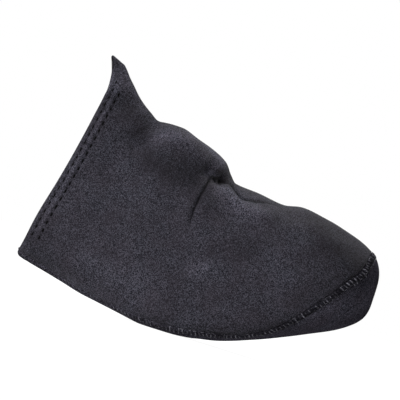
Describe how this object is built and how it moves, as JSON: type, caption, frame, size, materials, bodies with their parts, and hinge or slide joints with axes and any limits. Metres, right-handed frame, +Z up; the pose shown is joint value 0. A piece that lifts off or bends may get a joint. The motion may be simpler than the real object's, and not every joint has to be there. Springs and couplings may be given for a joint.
{
  "type": "cycling toe cover",
  "caption": "Black neoprene toe cover pulled over the front of a cycling shoe, with a hemmed collar, a raised overlock seam round the toe and a cleat opening underneath.",
  "frame": {"origin": "under the middle of the cover, on the plane that the sole rests on", "axes": "+X points to the toe, +Y to the wearer's left, +Z up"},
  "size_m": [0.2012, 0.094, 0.1398],
  "materials": {
    "jersey": "black knitted jersey laminated on neoprene foam, matt with a fine grain",
    "sole_jersey": "black smooth jersey on neoprene foam, a little darker than the upper",
    "thread": "black polyester overlock thread, satin"
  },
  "bodies": {
    "root": {"upper": "jersey", "sole_panel": "sole_jersey", "overlock_seam": "thread", "collar_hem": "jersey"}
  },
  "joints": []
}
